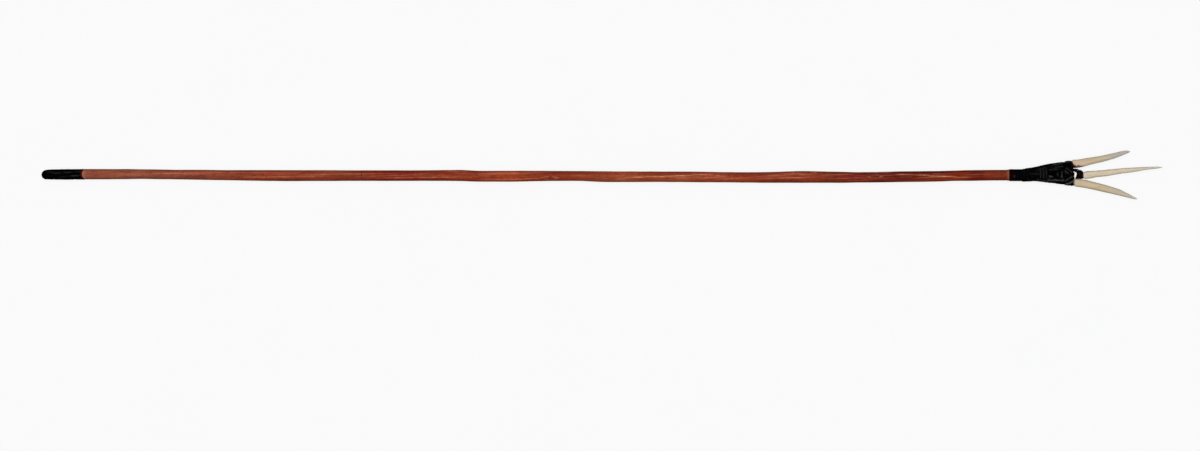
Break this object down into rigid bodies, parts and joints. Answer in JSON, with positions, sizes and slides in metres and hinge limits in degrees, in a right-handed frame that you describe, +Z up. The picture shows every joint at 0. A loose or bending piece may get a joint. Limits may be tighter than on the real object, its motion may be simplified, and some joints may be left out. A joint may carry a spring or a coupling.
{
  "type": "fishing spear",
  "caption": "Long thin wooden spear shaft with a black dipped butt and a flared lashed head that holds spread tapered prongs.",
  "frame": {"origin": "centre of the footprint of the spear lying on its side, on the surface it lies on", "axes": "+X along the shaft towards the points, +Y to the side of the shorter outer prong that curves up in the picture, +Z up from the surface it lies on"},
  "size_m": [1.356, 0.0598, 0.0152],
  "materials": {
    "ochred_wood": "satin",
    "bone": "satin",
    "pitched_cord": "satin",
    "inner_cord": "matte",
    "pitch": "satin",
    "plain_wood": "matte"
  },
  "bodies": {
    "root": {"shaft": "ochred_wood", "butt_pitch_coat": "pitch", "neck_whipping": "pitched_cord", "neck_hitch": "pitched_cord", "prong_upper": "bone", "prong_lower": "bone", "prong_middle": "bone", "spreader_wedge": "plain_wood", "tail_seizing": "inner_cord", "front_seizing": "inner_cord", "pitch_fill": "pitch", "fan_lashing": "pitched_cord", "mouth_band": "pitched_cord", "middle_prong_binding": "pitched_cord"}
  },
  "joints": []
}
